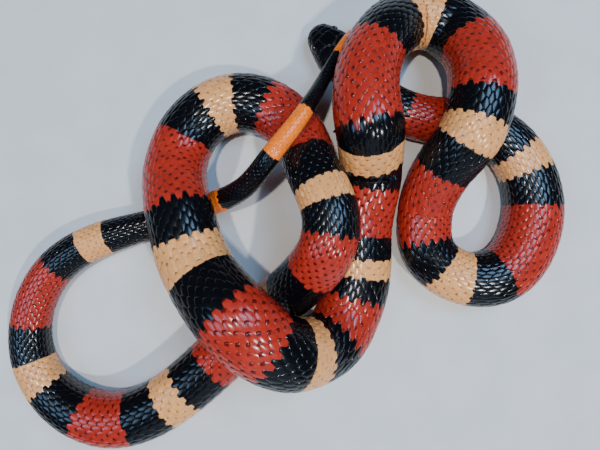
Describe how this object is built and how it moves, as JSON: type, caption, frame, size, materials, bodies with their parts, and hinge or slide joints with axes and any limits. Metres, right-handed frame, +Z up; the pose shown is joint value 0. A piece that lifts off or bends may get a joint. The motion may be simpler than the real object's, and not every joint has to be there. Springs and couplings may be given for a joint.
{
  "type": "milk snake",
  "caption": "Slender milk snake resting in loose overlapping loops, small black head and thin tail, ringed in black, red and cream.",
  "frame": {"origin": "middle of the bounding box, on the floor", "axes": "+Z up from the floor, +X to the right of the picture along the longest spread of the loops, +Y towards the top of the picture"},
  "size_m": [0.1935, 0.1583, 0.0423],
  "materials": {
    "skin": "smooth glossy scales in black, red and cream rings",
    "eye": "clear wet gloss over near-black"
  },
  "bodies": {
    "root": {"head": "skin", "lower_jaw": "skin", "eye_left": "eye", "eye_right": "eye", "neck": "skin", "trunk_1": "skin", "trunk_2": "skin", "trunk_3": "skin", "trunk_4": "skin", "trunk_5": "skin", "trunk_6": "skin", "trunk_7": "skin", "trunk_8": "skin", "trunk_9": "skin", "trunk_10": "skin", "trunk_11": "skin", "trunk_12": "skin", "trunk_13": "skin", "tail_1": "skin", "tail_2": "skin", "tail_3": "skin"}
  },
  "joints": []
}
